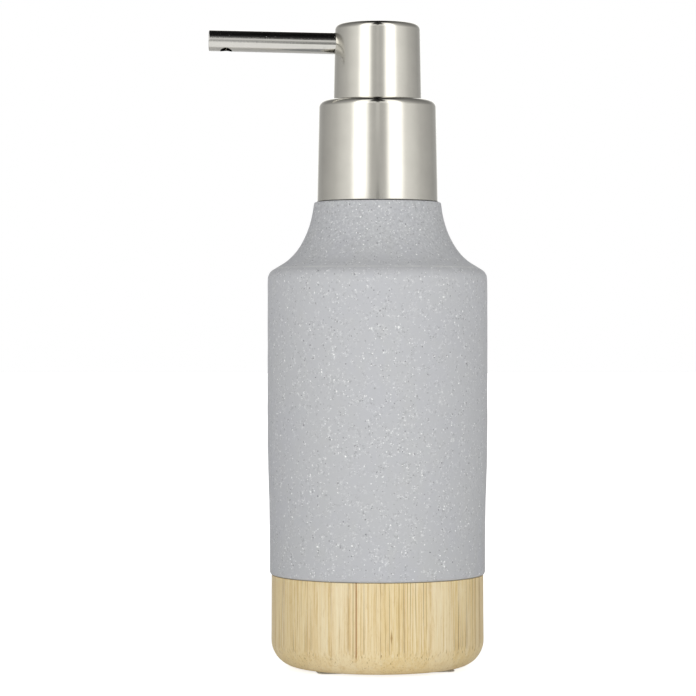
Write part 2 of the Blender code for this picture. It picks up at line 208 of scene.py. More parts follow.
def lathe(name, outline, around=AROUND):
    """Turn a closed (r, z) outline about the Z axis into one closed solid."""
    bm = bmesh.new()
    ring = [bm.verts.new((r, 0.0, z)) for r, z in outline]
    edges = [bm.edges.new((ring[i - 1], ring[i])) for i in range(len(ring))]
    bmesh.ops.spin(bm, geom=ring + edges, cent=(0, 0, 0), axis=(0, 0, 1), steps=around, angle=math.tau,
                   use_merge=True)
    bmesh.ops.remove_doubles(bm, verts=bm.verts[:], dist=0.00005)
    bmesh.ops.dissolve_degenerate(bm, edges=bm.edges[:], dist=0.00005)
    return place(name, bm)


def rod_between(name, radius, start, end, around=SMALL_AROUND):
    """A round rod from one point to another, for cutting with."""
    start = Vector(start)
    run = Vector(end) - start
    outline = [(0.0, 0.0), (radius, 0.0), (radius, run.length), (0.0, run.length)]
    rod = lathe(name, outline, around)
    rod.location = start * MM
    rod.rotation_euler = Vector((0, 0, 1)).rotation_difference(run).to_euler()
    return rod


def block(name, low, high, turn=0.0, edge=0.0):
    """A box turned about Z in degrees, with its edges rounded off."""
    bm = bmesh.new()
    size = Vector(high) - Vector(low)
    shape = Matrix.Translation((Vector(high) + Vector(low)) / 2.0) @ Matrix.Diagonal((*size, 1.0))
    bmesh.ops.create_cube(bm, size=1.0, matrix=Matrix.Rotation(math.radians(turn), 4, "Z") @ shape)
    if edge:
        bmesh.ops.bevel(bm, geom=bm.edges[:], offset=edge, segments=3, affect="EDGES", profile=0.5)
    return place(name, bm)


def combine(piece, other, operation):
    """Apply an exact Boolean to piece, and remove the other shape."""
    modifier = piece.modifiers.new("boolean", "BOOLEAN")
    modifier.operation = operation
    modifier.solver = "EXACT"
    modifier.object = other
    bpy.context.view_layer.update()
    evaluated = piece.evaluated_get(bpy.context.evaluated_depsgraph_get())
    mesh = bpy.data.meshes.new_from_object(evaluated)
    piece.modifiers.remove(modifier)
    piece.data = mesh
    mesh.shade_smooth()
    mesh.set_sharp_from_angle(angle=math.radians(SHARP))
    bpy.data.objects.remove(other, do_unlink=True)


def coil(name, section, centreline, steps):
    """Sweep a section of (radial, axial) offsets along centreline(t) = (angle, r, z, scale)."""
    bm = bmesh.new()
    rings = []
    for step in range(steps + 1):
        angle, radius, height, scale = centreline(step / steps)
        ring = []
        for radial, axial in section:
            r = radius + radial * scale
            ring.append(bm.verts.new((r * math.cos(angle), r * math.sin(angle), height + axial * scale)))
        rings.append(ring)
    for near, far in zip(rings, rings[1:]):
        for i in range(len(section)):
            bm.faces.new((near[i - 1], near[i], far[i], far[i - 1]))
    bm.faces.new(rings[0])
    bm.faces.new(rings[-1])
    return place(name, bm, sharp=50.0)


def thread_ridge(name, wall_r, crest_r, start_turn):
    """A right-hand thread ridge with softened crests, running out at both ends."""
    outward = 1.0 if crest_r > wall_r else -1.0
    depth = abs(crest_r - wall_r)
    half_base, half_crest = 1.1, 0.45
    section = [
        (-0.4 * outward, -half_base),
        ((depth - 0.2) * outward, -half_crest - 0.1),
        (depth * outward, -half_crest + 0.15),
        (depth * outward, half_crest - 0.15),
        ((depth - 0.2) * outward, half_crest + 0.1),
        (-0.4 * outward, half_base),
    ]

    def centreline(t):
        angle = math.tau * (start_turn + THREAD_TURNS * t)
        scale = min(1.0, 0.2 + 0.8 * min(t, 1.0 - t) / 0.08)
        return angle, wall_r, THREAD_START + PITCH * THREAD_TURNS * t, scale

    return coil(name, section, centreline, 120)


def follow_wall(piece, wall_normal, within=12.0):
    """Keep a cut piece's long smooth walls smooth: their corners take the wall's true normal."""
    mesh = piece.data
    normals = [tuple(n.vector) for n in mesh.corner_normals]
    limit = math.cos(math.radians(within))
    for polygon in mesh.polygons:
        for side in (1.0, -1.0):
            if polygon.normal.dot(wall_normal(polygon.center) * side) > limit:
                for loop in polygon.loop_indices:
                    corner = mesh.vertices[mesh.loops[loop].vertex_index].co
                    normals[loop] = tuple(wall_normal(corner) * side)
    mesh.normals_split_custom_set(normals)


def cone_normal(slope):
    """The outward normal of a wall that leans inwards by slope (radians) as it rises."""
    def normal(point):
        flat = Vector((point.x, point.y, 0.0)).normalized() * math.cos(slope)
        return Vector((flat.x, flat.y, math.sin(slope)))
    return normal


def shoulder(inset, start, end, steps):
    """Points along the concave shoulder, an elliptical arc, moved inwards by a wall's thickness."""
    (centre_r, centre_z), (half_r, half_z) = SHOULDER_CENTRE, SHOULDER_AXES
    points = []
    for step in range(steps + 1):
        angle = math.radians(start + (end - start) * step / steps)
        r = centre_r - inset - half_r * math.cos(angle)
        z = centre_z - inset - half_z * math.sin(angle)
        points.append((r, z))
    return points


def body_radius(z):
    """The bottle's side swells gently above its foot."""
    low, high = BODY_SWELL
    t = min(1.0, max(0.0, (z - low) / (high - low)))
    return BODY_LOW_R + (BODY_R - BODY_LOW_R) * t * t * (3.0 - 2.0 * t)


def roughen(piece, height, spacing, only_outside_r=0.0):
    """Move a cast or sanded surface in and out by a fraction of a millimetre."""
    for vertex in piece.data.vertices:
        flat = Vector((vertex.co.x, vertex.co.y, 0.0))
        if flat.length > only_outside_r * MM:
            lift = noise.noise(vertex.co / (spacing * MM)) * height * MM
            vertex.co += flat.normalized() * lift


# --------------------------------------------------------------------------------------------------
# Materials
# --------------------------------------------------------------------------------------------------

def linear(red, green, blue):
    """Linear colour from 0-255 display values."""
    def channel(c):
        c /= 255.0
        return c / 12.92 if c <= 0.04045 else ((c + 0.055) / 1.055) ** 2.4
    return (channel(red), channel(green), channel(blue), 1.0)


class Nodes:
    """A short way to write a material's node tree, in object coordinates given in millimetres."""

    def __init__(self, name, roughness=0.5, metallic=0.0):
        self.material = bpy.data.materials.new(name)
        self.material.use_nodes = True
        self.tree = self.material.node_tree
        self.shader = self.tree.nodes["Principled BSDF"]
        self.set("Roughness", roughness)
        self.set("Metallic", metallic)
        coordinates = self.tree.nodes.new("ShaderNodeTexCoord")
        self.place = self.vector("MULTIPLY", coordinates.outputs["Object"], (1.0 / MM,) * 3)

    def set(self, socket, value):
        self.shader.inputs[socket].default_value = value

    def link(self, value, socket):
        """Connect an output, or set a plain value, on a socket."""
        if isinstance(value, bpy.types.NodeSocket):
            self.tree.links.new(value, socket)
        elif value is not None:
            socket.default_value = value

    def axes(self):
        """The place's x, y and z, in millimetres."""
        node = self.tree.nodes.new("ShaderNodeSeparateXYZ")
        self.link(self.place, node.inputs[0])
        return node.outputs

    def vector(self, operation, first, second):
        node = self.tree.nodes.new("ShaderNodeVectorMath")
        node.operation = operation
        self.link(first, node.inputs[0])
        self.link(second, node.inputs[1])
        return node.outputs["Vector"]

    def math(self, operation, first, second=None, clamp=False):
        node = self.tree.nodes.new("ShaderNodeMath")
        node.operation = operation
        node.use_clamp = clamp
        for socket, value in zip(node.inputs, (first, second)):
            self.link(value, socket)
        return node.outputs[0]

    def times(self, first, second):
        return self.math("MULTIPLY", first, second)

    def stretched(self, x, y, z):
        """The place in millimetres, scaled along each axis."""
        return self.vector("MULTIPLY", self.place, (x, y, z))

    def polar(self, around_spout=False):
        """(angle in radians, distance along, radius in mm) about the Z axis or the spout's axis."""
        x, y, z = self.axes()
        if around_spout:
            sunk = self.math("ADD", z, self.times(x, math.tan(SPOUT_TILT)))
            x, z = self.math("SUBTRACT", sunk, SPOUT_AXIS_Z), x
        angle = self.math("ARCTAN2", y, x)
        radius = self.math("SQRT", self.math("ADD", self.times(x, x), self.times(y, y)))
        return angle, z, radius

    def scatter(self, cell):
        """A random number from 0 to 1 for each whole-numbered cell."""
        node = self.tree.nodes.new("ShaderNodeTexWhiteNoise")
        self.link(cell, node.inputs["Vector"])
        return node.outputs["Value"]

    def wobble(self, amount_mm, scale, stretch=(1.0, 1.0, 1.0)):
        """The place in millimetres, moved about unevenly so that round shapes come out ragged."""
        where = self.stretched(*stretch)
        node = self.tree.nodes.new("ShaderNodeTexNoise")
        self.link(where, node.inputs["Vector"])
        node.inputs["Scale"].default_value = scale
        offset = self.vector("SUBTRACT", node.outputs["Color"], (0.5, 0.5, 0.5))
        return self.vector("ADD", where, self.vector("MULTIPLY", offset, (amount_mm,) * 3))

    def join(self, x, y, z):
        node = self.tree.nodes.new("ShaderNodeCombineXYZ")
        for socket, value in zip(node.inputs, (x, y, z)):
            self.link(value, socket)
        return node.outputs[0]

    def steps(self, value, levels):
        """Cut 0 to 1 into equal steps, each with its own level."""
        node = self.tree.nodes.new("ShaderNodeValToRGB")
        node.color_ramp.interpolation = "CONSTANT"
        stops = node.color_ramp.elements
        stops.remove(stops[1])
        for i, level in enumerate(levels):
            stop = stops[0] if i == 0 else stops.new(i / len(levels))
            stop.color = (level, level, level, 1.0)
        self.link(value, node.inputs[0])
        return node.outputs[0]

    def noise(self, where, scale, detail=2.0, roughness=0.5):
        node = self.tree.nodes.new("ShaderNodeTexNoise")
        self.link(where, node.inputs["Vector"])
        node.inputs["Scale"].default_value = scale
        node.inputs["Detail"].default_value = detail
        node.inputs["Roughness"].default_value = roughness
        return node.outputs[0]

    def cells(self, where, scale):
        """(distance to the nearest cell's middle, that cell's random colour)."""
        node = self.tree.nodes.new("ShaderNodeTexVoronoi")
        self.link(where, node.inputs["Vector"])
        node.inputs["Scale"].default_value = scale
        return node.outputs["Distance"], node.outputs["Color"]

    def random(self, colour, channel):
        node = self.tree.nodes.new("ShaderNodeSeparateColor")
        self.link(colour, node.inputs[0])
        return node.outputs[channel]

    def span(self, value, from_low, from_high, to_low=0.0, to_high=1.0, smooth=False):
        node = self.tree.nodes.new("ShaderNodeMapRange")
        node.clamp = True
        if smooth:
            node.interpolation_type = "SMOOTHSTEP"
        for socket, number in zip(node.inputs[1:5], (from_low, from_high, to_low, to_high)):
            self.link(number, socket)
        self.link(value, node.inputs[0])
        return node.outputs[0]

    def mix(self, amount, first, second):
        node = self.tree.nodes.new("ShaderNodeMix")
        node.data_type = "RGBA"
        self.link(amount, node.inputs[0])
        self.link(first, node.inputs[6])
        self.link(second, node.inputs[7])
        return node.outputs[2]

    def bump(self, height, distance_mm, strength=1.0, normal=None):
        node = self.tree.nodes.new("ShaderNodeBump")
        node.inputs["Strength"].default_value = strength
        node.inputs["Distance"].default_value = distance_mm * MM
        self.link(height, node.inputs["Height"])
        if normal is not None:
            self.link(normal, node.inputs["Normal"])
        return node.outputs[0]

    def finish(self, colour=None, roughness=None, normal=None):
        self.link(colour, self.shader.inputs["Base Color"])
        self.link(roughness, self.shader.inputs["Roughness"])
        if normal is not None:
            self.link(normal, self.shader.inputs["Normal"])
        return self.material


def grit(n, where, scale, smallest, largest, share):
    """A mask of specks with radii from smallest to largest, in mm; share, 0 to 1, may be patchy."""
    distance, colour = n.cells(where, scale)
    chosen = n.math("LESS_THAN", n.random(colour, 0), share)
    size = n.span(n.random(colour, 1), 0.0, 1.0, smallest * scale, largest * scale)
    edge = n.span(distance, n.times(size, 0.5), size, 1.0, 0.0, smooth=True)
    strength = n.span(n.random(colour, 2), 0.0, 1.0, 0.35, 1.0)
    return n.times(n.times(chosen, edge), strength)


def speckled_resin():
    """Matte cast resin: pale grey, faintly mottled, with clusters of small white and dark grains."""
    n = Nodes("speckled_resin", roughness=0.82)
    n.set("Specular IOR Level", 0.35)
    _, height, _ = n.polar()
    ground = linear(191, 193, 194)
    bluish = linear(187, 189, 194)
    greenish = linear(190, 192, 189)
    white = linear(250, 251, 250)
    dark = linear(104, 105, 109)

    colour = n.mix(n.span(n.noise(n.place, 0.05, 3.0, 0.6), 0.4, 0.65), ground, bluish)
    cloud = n.noise(n.stretched(1.0, 1.0, 0.5), 0.22, 3.0, 0.6)
    colour = n.mix(n.span(cloud, 0.5, 0.75, 0.0, 0.7), colour, greenish)

    fade = n.math("SUBTRACT", n.span(height, 30.0, RIDGE[1], 0.0, 0.4),
                  n.span(height, RIDGE[1] + 1.0, RIDGE[1] + 8.0, 0.0, 0.25))
    colour = n.mix(fade, n.mix(0.55, colour, linear(182, 183, 187)), linear(206, 207, 210))

    uneven = n.wobble(0.7, 1.8)
    patches = n.span(n.noise(n.place, 0.45, 4.0, 0.65), 0.465, 0.57, 0.05, 1.0)
    patches = n.math("MAXIMUM", patches, n.span(height, RIDGE[1] + 3.0, RIDGE[1] + 10.0, 0.0, 0.7))
    sand = n.noise(n.place, 1.1, 3.0, 0.8)
    colour = n.mix(n.times(n.span(sand, 0.52, 0.7, 0.0, 0.4), patches), colour, white)
    colour = n.mix(n.times(n.span(sand, 0.46, 0.28, 0.0, 0.4), patches), colour, dark)
    dark_where = n.vector("ADD", uneven, (31.0, 0.0, 7.0))
    dark_grain = grit(n, dark_where, 1.15, 0.16, 0.34, n.times(patches, 0.6))
    colour = n.mix(n.times(dark_grain, 0.8), colour, dark)
    fine_where = n.vector("ADD", uneven, (3.0, 11.0, 0.0))
    fine = grit(n, fine_where, 1.35, 0.13, 0.27, n.times(patches, 0.75))
    colour = n.mix(n.times(fine, 0.8), colour, white)
    coarse_where = n.vector("ADD", uneven, (0.0, 5.0, 17.0))
    coarse = grit(n, coarse_where, 0.85, 0.2, 0.4, n.times(patches, 0.48))
    colour = n.mix(coarse, colour, white)

    # A thin lighter line just above the ridge's corner, broken into patches by noise.
    above_corner = n.math("ABSOLUTE", n.math("SUBTRACT", height, RIDGE[1] + 1.55))
    line = n.span(above_corner, 0.1, 0.4, 1.0, 0.0, smooth=True)
    rubbed = n.span(n.noise(n.place, 0.2, 2.0, 0.5), 0.35, 0.6, 0.15, 0.55)
    colour = n.mix(n.times(line, rubbed), colour, linear(214, 215, 214))
    below_corner = n.math("ABSOLUTE", n.math("SUBTRACT", height, RIDGE[1] - 0.2))
    chips = grit(n, n.wobble(0.8, 0.8, (1.0, 1.0, 2.4)), 0.16, 0.3, 0.9, 0.3)
    chips = n.times(chips, n.span(below_corner, 0.6, 1.6, 0.7, 0.0))
    colour = n.mix(chips, colour, linear(216, 216, 211))

    skin = n.noise(n.place, 1.6, 5.0, 0.7)
    normal = n.bump(skin, 0.08, 0.5)
    normal = n.bump(n.noise(n.place, 0.25, 2.0, 0.5), 0.4, 0.35, normal)
    return n.finish(colour, n.span(skin, 0.3, 0.7, 0.74, 0.9), normal)


def bamboo():
    """Strips of bamboo glued side by side: upright fibres, which show as dots on the rounded bottom."""
    n = Nodes("laminated_bamboo", roughness=0.5)
    n.set("Specular IOR Level", 0.4)
    x, y, z = n.axes()
    strip_x = n.times(n.math("ADD", x, -STRIP_JOINT), 1.0 / STRIP)
    strip_y = n.times(n.math("ADD", y, STRIP_DEPTH / 2.0), 1.0 / STRIP_DEPTH)
    row, column = n.math("FLOOR", strip_x), n.math("FLOOR", strip_y)
    # On the front each strip takes a listed tone: real strip tones, and in the palest strip, just left of
    # the strong joint, a painted highlight.
    front = n.steps(n.span(row, -4.5, 5.5), FRONT_STRIP_TONES_AND_HIGHLIGHT)
    other = n.span(n.scatter(n.join(row, column, 3.0)), 0.0, 1.0, 0.4, 1.0)
    tone = n.mix(n.math("LESS_THAN", y, -STRIP_DEPTH / 2.0), other, front)
    colour = n.mix(n.span(tone, 0.0, 0.5), linear(231, 214, 174), linear(229, 209, 163))
    colour = n.mix(n.span(tone, 0.5, 1.0), colour, linear(224, 202, 150))

    broad = n.noise(n.stretched(1.0, 1.0, 0.05), 0.5, 4.0, 0.65)
    colour = n.mix(n.span(broad, 0.5, 0.75, 0.0, 0.65), colour, linear(211, 183, 127))
    colour = n.mix(n.span(broad, 0.45, 0.25, 0.0, 0.6), colour, linear(231, 218, 188))
    grain = n.noise(n.stretched(1.0, 1.0, 0.009), 2.0, 5.0, 0.85)
    upright = n.span(z, 5.0, 10.0, 0.2, 1.0)
    darker = n.times(n.span(grain, 0.52, 0.63, 0.0, 0.85), upright)
    colour = n.mix(darker, colour, linear(196, 161, 98))
    lighter = n.times(n.span(grain, 0.48, 0.36, 0.0, 0.8), upright)
    colour = n.mix(lighter, colour, linear(235, 223, 194))
    mottle = n.noise(n.stretched(1.6, 1.6, 0.35), 0.8, 3.0, 0.7)
    colour = n.mix(n.span(mottle, 0.55, 0.7, 0.0, 0.25), colour, linear(192, 158, 96))
    colour = n.mix(n.span(mottle, 0.45, 0.3, 0.0, 0.2), colour, linear(236, 226, 200))

    lean = n.noise(n.stretched(0.15, 0.15, 0.02), 1.0, 2.0)
    drift = n.vector("MULTIPLY", n.join(lean, lean, 0.0), (0.8, 0.8, 0.0))
    across = n.vector("ADD", n.stretched(1.0, 1.0, 0.003), drift)
    density = n.span(n.math("FRACT", strip_x), 0.0, 1.0, 0.95, 0.4)
    density = n.math("MAXIMUM", density, n.span(tone, 0.5, 1.0, 0.0, 0.95))
    fibres = grit(n, across, 1.4, 0.1, 0.24, density)
    thin = grit(n, n.vector("ADD", across, (9.0, 4.0, 0.0)), 2.2, 0.08, 0.17, 1.0)
    pale = grit(n, n.vector("ADD", across, (5.0, 14.0, 0.0)), 1.7, 0.1, 0.2, 0.55)
    broken = n.span(n.noise(n.stretched(1.2, 1.2, 0.05), 1.0, 2.0), 0.32, 0.5, 0.35, 1.0)
    broken = n.times(broken, n.span(tone, 0.2, 0.9, 0.75, 1.3))
    fibres = n.times(n.math("MAXIMUM", fibres, thin), broken)
    pale = n.times(pale, n.times(upright, 0.85))
    colour = n.mix(pale, colour, linear(245, 236, 209))
    fibres = n.math("MULTIPLY", fibres, n.span(upright, 0.2, 1.0, 0.5, 1.0), clamp=True)
    colour = n.mix(fibres, colour, linear(124, 84, 32))

    joint = n.math("ROUND", strip_x)
    edge_x = n.math("SUBTRACT", strip_x, joint)
    from_middle = n.math("ABSOLUTE", n.math("SUBTRACT", joint, 0.5))
    worn = n.span(n.noise(n.stretched(0.3, 0.3, 0.12), 1.0, 3.0), 0.35, 0.6, 0.2, 0.8)
    faint = n.times(n.span(from_middle, 0.6, 1.4, 0.8, 0.45), worn)
    strong = n.span(n.math("ABSOLUTE", joint), 0.4, 0.6, 0.95, 0.0)
    depth = n.times(n.math("MAXIMUM", faint, strong), n.span(z, 6.0, 7.0, 0.05, 1.0))
    wide = n.span(strong, 0.0, 0.9, 0.022, 0.04)
    near = n.span(n.math("ABSOLUTE", edge_x), n.times(wide, 0.35), wide, 1.0, 0.0)
    seam = n.times(near, depth)
    colour = n.mix(seam, colour, linear(156, 106, 44))
    glue = n.span(n.math("ABSOLUTE", n.math("ADD", x, -SECOND_JOINT)), 0.06, 0.2, 0.6, 0.0)
    glue = n.times(glue, n.span(z, 6.0, 7.0))
    glue = n.times(glue, n.math("LESS_THAN", y, 0.0))
    colour = n.mix(glue, colour, linear(146, 118, 54))
    across_scar = n.math("ABSOLUTE", n.math("DIVIDE", n.math("SUBTRACT", x, SCAR[0]), 0.5))
    along_scar = n.math("ABSOLUTE", n.math("DIVIDE", n.math("SUBTRACT", z, SCAR[1]), 3.4))
    scar = n.span(n.math("ADD", across_scar, along_scar), 0.3, 1.0, 0.75, 0.0, smooth=True)
    colour = n.mix(scar, colour, linear(158, 118, 54))

    normal = n.bump(n.math("SUBTRACT", grain, n.times(fibres, 0.7)), 0.07, 0.5)
    return n.finish(colour, n.span(grain, 0.3, 0.7, 0.36, 0.5), normal)


def nickel(name, roughness, tint, wear=0.02, around_spout=False):
    """Plated metal, turned smooth: fine rings round its axis that only soften its reflections."""
    n = Nodes(name, roughness=roughness, metallic=1.0)
    angle, along, radius = n.polar(around_spout)
    turned = n.vector("MULTIPLY", n.join(angle, along, radius), (1.2, 9.0, 9.0))
    rings = n.noise(turned, 1.0, 4.0, 0.7)
    cloud = n.noise(n.place, 0.12, 3.0, 0.6)
    colour = n.mix(n.span(cloud, 0.3, 0.7), linear(*tint), linear(*[c * 0.97 for c in tint]))
    rough = n.span(rings, 0.3, 0.7, roughness - wear, roughness + wear)
    normal = n.bump(rings, 0.004, 0.25)
    if around_spout:
        rubbed = n.vector("MULTIPLY", n.join(angle, along, 0.0), (1.6, 1.7, 0.0))
        marks = n.noise(rubbed, 1.0, 3.0, 0.75)
        normal = n.bump(marks, 0.028, 0.5, normal)
        dust = grit(n, n.wobble(0.3, 2.0), 1.1, 0.12, 0.3, 0.35)
        rough = n.math("ADD", rough, n.times(dust, 0.25))
    return n.finish(colour, rough, normal)


def moulded(name, colour, roughness, clear=0.0):
    """Moulded plastic: faint flow marks, a slightly eggshell skin and a soft gloss."""
    n = Nodes(name, roughness=roughness)
    n.set("Transmission Weight", clear)
    n.set("Subsurface Weight", 0.0 if clear else 0.08)
    n.set("Subsurface Radius", (0.8 * MM, 0.8 * MM, 0.7 * MM))
    flow = n.noise(n.stretched(1.0, 1.0, 0.3), 0.25, 3.0, 0.6)
    deeper = tuple(c * 0.9 for c in linear(*colour)[:3]) + (1.0,)
    skin = n.noise(n.place, 5.0, 3.0, 0.6)
    shade = n.mix(n.span(flow, 0.35, 0.7), linear(*colour), deeper)
    uneven = n.span(skin, 0.3, 0.7, roughness - 0.06, roughness + 0.08)
    return n.finish(shade, uneven, n.bump(skin, 0.012, 0.4))


def foam(name, colour, cell_mm):
    """Closed-cell foam: small round cells whose hollow middles are darker, as painted shade, with a little
    random tone from cell to cell.
    """
    n = Nodes(name, roughness=0.9)
    distance, random = n.cells(n.place, 1.0 / cell_mm)
    deeper = tuple(c * 0.72 for c in linear(*colour)[:3]) + (1.0,)
    # Painted shade: darker towards each cell's hollow middle.
    shade = n.mix(n.span(distance, 0.15, 0.6), deeper, linear(*colour))
    shade = n.mix(n.span(n.random(random, 0), 0.0, 1.0, 0.0, 0.3), shade, deeper)
    return n.finish(shade, n.span(distance, 0.1, 0.6, 0.82, 0.96), n.bump(distance, cell_mm * 0.4, 0.7))


def steel(name, lengthwise):
    """Bright steel: drawn marks along a wire, or the even lapped skin of a ball."""
    n = Nodes(name, roughness=0.18, metallic=1.0)
    angle, height, _ = n.polar()
    if lengthwise:
        where = n.join(n.times(angle, 2.0), n.times(height, 14.0), 0.0)
    else:
        where = n.stretched(6.0, 6.0, 6.0)
    marks = n.noise(where, 1.0, 3.0, 0.65)
    shade = n.mix(n.span(marks, 0.3, 0.7), linear(206, 206, 208), linear(186, 187, 190))
    return n.finish(shade, n.span(marks, 0.3, 0.7, 0.12, 0.28), n.bump(marks, 0.006, 0.4))


# --------------------------------------------------------------------------------------------------
# Bottle
# --------------------------------------------------------------------------------------------------

def foot_pad():
    low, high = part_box("foot_pad")
    size = (*PAD_SIZE, (high[2] - low[2]) / MM)
    bm = bmesh.new()
    bmesh.ops.create_cube(bm, size=1.0, matrix=Matrix.Diagonal((*size, 1.0)))
    upright = [e for e in bm.edges if abs(e.verts[0].co.z - e.verts[1].co.z) > 0.1]
    bmesh.ops.bevel(bm, geom=upright, offset=2.0, segments=8, affect="EDGES", profile=0.5)
    rims = [e for e in bm.edges if abs(e.verts[0].co.z - e.verts[1].co.z) < 0.01]
    bmesh.ops.bevel(bm, geom=rims, offset=0.1, segments=2, affect="EDGES", profile=0.5)
    middle = (low[0] + high[0]) / 2.0 / MM
    turn = Matrix.Rotation(math.radians(PAD_TURN), 4, "Z")
    bmesh.ops.transform(bm, matrix=Matrix.Translation((middle, 0, size[2] / 2.0)) @ turn, verts=bm.verts[:])
    return place("anti_slip_pad", bm)


def bamboo_base():
    r, low, top = width_r("bamboo_base"), low_z("bamboo_base"), high_z("bamboo_base") - JOINT_DROP
    outline = rounded([
        (0.0, low),
        (r, low, BASE_EDGE),
        (r - BASE_TAPER, top + SEAM, 0.25),
        (RECESS_R, top + SEAM, 0.2),
        (RECESS_R, top + JOINT_DROP - RECESS_DEPTH, 0.5),
        (0.0, top + JOINT_DROP - RECESS_DEPTH),
    ], steps=12)
    return lathe("turned_base", outline)


def body_shell():
    low = BODY_SWELL[0]
    foot = rounded([(BODY_R - WALL, BODY_FOOT), (BODY_LOW_R, BODY_FOOT, BODY_FOOT_EDGE), (BODY_LOW_R, low)],
                   steps=8)
    outer = foot[:-1]
    heights = [z for _, z in between((0.0, low), (0.0, RIDGE[1] - 2.2), 1.5)]
    outer += [(body_radius(z), z) for z in heights]
    slope = shoulder(0.0, SHOULDER_END, 10.0, 44)
    ridge = rounded([(BODY_R, 110.0), (*RIDGE, RIDGE_EDGE), slope[0]], steps=12)[1:-1]
    mouth = rounded([
        slope[-2],
        (SHOULDER_CENTRE[0] - SHOULDER_AXES[0] + 0.1, BODY_TOP, 0.6),
        (MOUTH_R, BODY_TOP, 0.4),
        (MOUTH_R, BODY_TOP - 4.3),
    ], steps=6)[1:]
    inner = list(reversed(shoulder(WALL, 72.0, 10.0, 24)))
    lower = rounded([inner[-1], (BODY_R - WALL, 119.0, 4.0), (BODY_R - WALL, BODY_FOOT)], steps=6)[1:-1]
    return lathe("resin_bottle", outer + ridge + slope[:-1] + mouth + inner + lower, FINE_AROUND)


def bottom_plug():
    skirt = low_z("bottom_plug")
    top = high_z("bottom_plug")
    r = width_r("bottom_plug")
    outline = rounded([
        (0.0, top - 2.5),
        (25.8, top - 2.5, 1.0),
        (25.8, skirt, 0.3),
        (RECESS_R - 0.3, skirt, 0.5),
        (RECESS_R - 0.3, BODY_BOTTOM),
        (r, BODY_BOTTOM, 0.2),
        (r, top, 0.5),
        (0.0, top),
    ], steps=4)
    return lathe("bottle_plug", outline)


def neck_insert():
    low = low_z("neck_insert")
    rim = high_z("neck_insert")
    outline = rounded([
        (NECK_BORE_R, low, 0.3),
        (14.0, low, 0.6),
        (14.0, BODY_TOP + 0.3),
        (17.0, BODY_TOP + 0.3, 0.2),
        (17.0, NECK_BOTTOM, 0.3),
        (NECK_R, NECK_BOTTOM, 0.4),
        (NECK_R, rim, 0.5),
        (NECK_BORE_R, rim, 0.4),
    ], steps=4)
    neck = lathe("threaded_neck", outline, SMALL_AROUND)
    combine(neck, thread_ridge("ridge", NECK_R, NECK_R + 1.15, 0.0), "UNION")
    return neck


# --------------------------------------------------------------------------------------------------
# Collar
# --------------------------------------------------------------------------------------------------

def cup_outline(low, high, low_r, high_r, edge, hole_r, lip=0.15):
    """A drawn metal cup, open below, whose flat top has a hole with a softened lip, or none."""
    inside = (hole_r, high - SHEET, lip) if hole_r else (hole_r, high - SHEET)
    outside = (hole_r, high, lip) if hole_r else (hole_r, high)
    return rounded([
        inside,
        (high_r - SHEET, high - SHEET, edge - SHEET),
        (low_r - SHEET, low, 0.12),
        (low_r, low, 0.2),
        (high_r, high, edge),
        outside,
    ], steps=10)


def collar_shell():
    low, high = low_z("collar_shell") - SEAM / 2.0, high_z("collar_shell") + COLLAR_LIFT
    low_r = width_r("collar_shell")
    outline = cup_outline(low, high, low_r, low_r - COLLAR_TAPER, COLLAR_EDGE, COLLAR_HOLE_R)
    return lathe("collar_cover", outline, FINE_AROUND)


def closure_cap():
    low, top = low_z("closure_cap"), high_z("closure_cap")
    r = width_r("closure_cap")
    outline = rounded([
        (9.0, top, 0.25),
        (9.0, FLANGE_TOP + 0.2, 0.2),
        (CAP_BORE_R, FLANGE_TOP + 0.2),
        (CAP_BORE_R, low + 0.3, 0.3),
        (15.6, low + 0.3, 0.3),
        (15.6, top - 2.0, 0.4),
        (r - 1.1, top - 2.0, 0.4),
        (r - 1.1, low, 0.25),
        (r, low, 0.25),
        (r, top, 0.6),
    ], steps=4)
    cap = lathe("screw_cap", outline, SMALL_AROUND)
    combine(cap, thread_ridge("ridge", CAP_BORE_R, CAP_BORE_R - 1.1, 0.5), "UNION")
    return cap


# --------------------------------------------------------------------------------------------------
# Pump
# --------------------------------------------------------------------------------------------------

def pump_cylinder():
    socket_bottom = low_z("pump_cylinder")
    outline = rounded([
        (BARREL_BORE_R, SPRING_LEDGE, 0.3),
        (3.3, SPRING_LEDGE, 0.3),
        (3.3, SEAT_BOTTOM + 1.5),
        (1.8, SEAT_BOTTOM, 0.2),
        (1.8, SEAT_BOTTOM - 0.9),
        (3.3, SEAT_BOTTOM - 0.9),
        (3.3, socket_bottom, 0.3),
        (4.4, socket_bottom, 0.3),
        (4.4, SEAT_BOTTOM, 0.8),
        (BARREL_R, SPRING_LEDGE - 1.5, 0.8),
        (BARREL_R, FLANGE_TOP - 1.3, 0.5),
        (13.2, FLANGE_TOP - 1.3, 0.25),
        (13.2, FLANGE_TOP, 0.25),
        (BARREL_BORE_R, FLANGE_TOP, 0.3),
    ], steps=4)
    barrel = lathe("pump_barrel", outline, SMALL_AROUND)
    for turn in (30.0, 150.0, 270.0):
        nib = block("nib", (1.9, -0.5, SPRING_LEDGE - 1.0), (4.1, 0.5, SPRING_LEDGE - 0.2), turn, 0.12)
        combine(barrel, nib, "UNION")
    combine(barrel, rod_between("vent", 0.6, (0.0, 5.4, 157.0), (0.0, 8.4, 157.0), 32), "DIFFERENCE")
    return barrel


def neck_gasket():
    low, high = low_z("neck_gasket"), high_z("neck_gasket")
    outline = rounded([(8.2, low, 0.2), (13.4, low, 0.2), (13.4, high, 0.2), (8.2, high, 0.2)], steps=3)
    return lathe("sealing_washer", outline, SMALL_AROUND)


def chaplet():
    low, high = low_z("chaplet"), high_z("chaplet")
    outline = rounded([
        (3.9, low, 0.2),
        (6.1, low, 0.4),
        (6.1, FLANGE_TOP + 0.3),
        (8.4, FLANGE_TOP + 0.3, 0.2),
        (8.4, high, 0.5),
        (3.9, high, 0.4),
    ], steps=4)
    return lathe("stem_guide", outline, SMALL_AROUND)


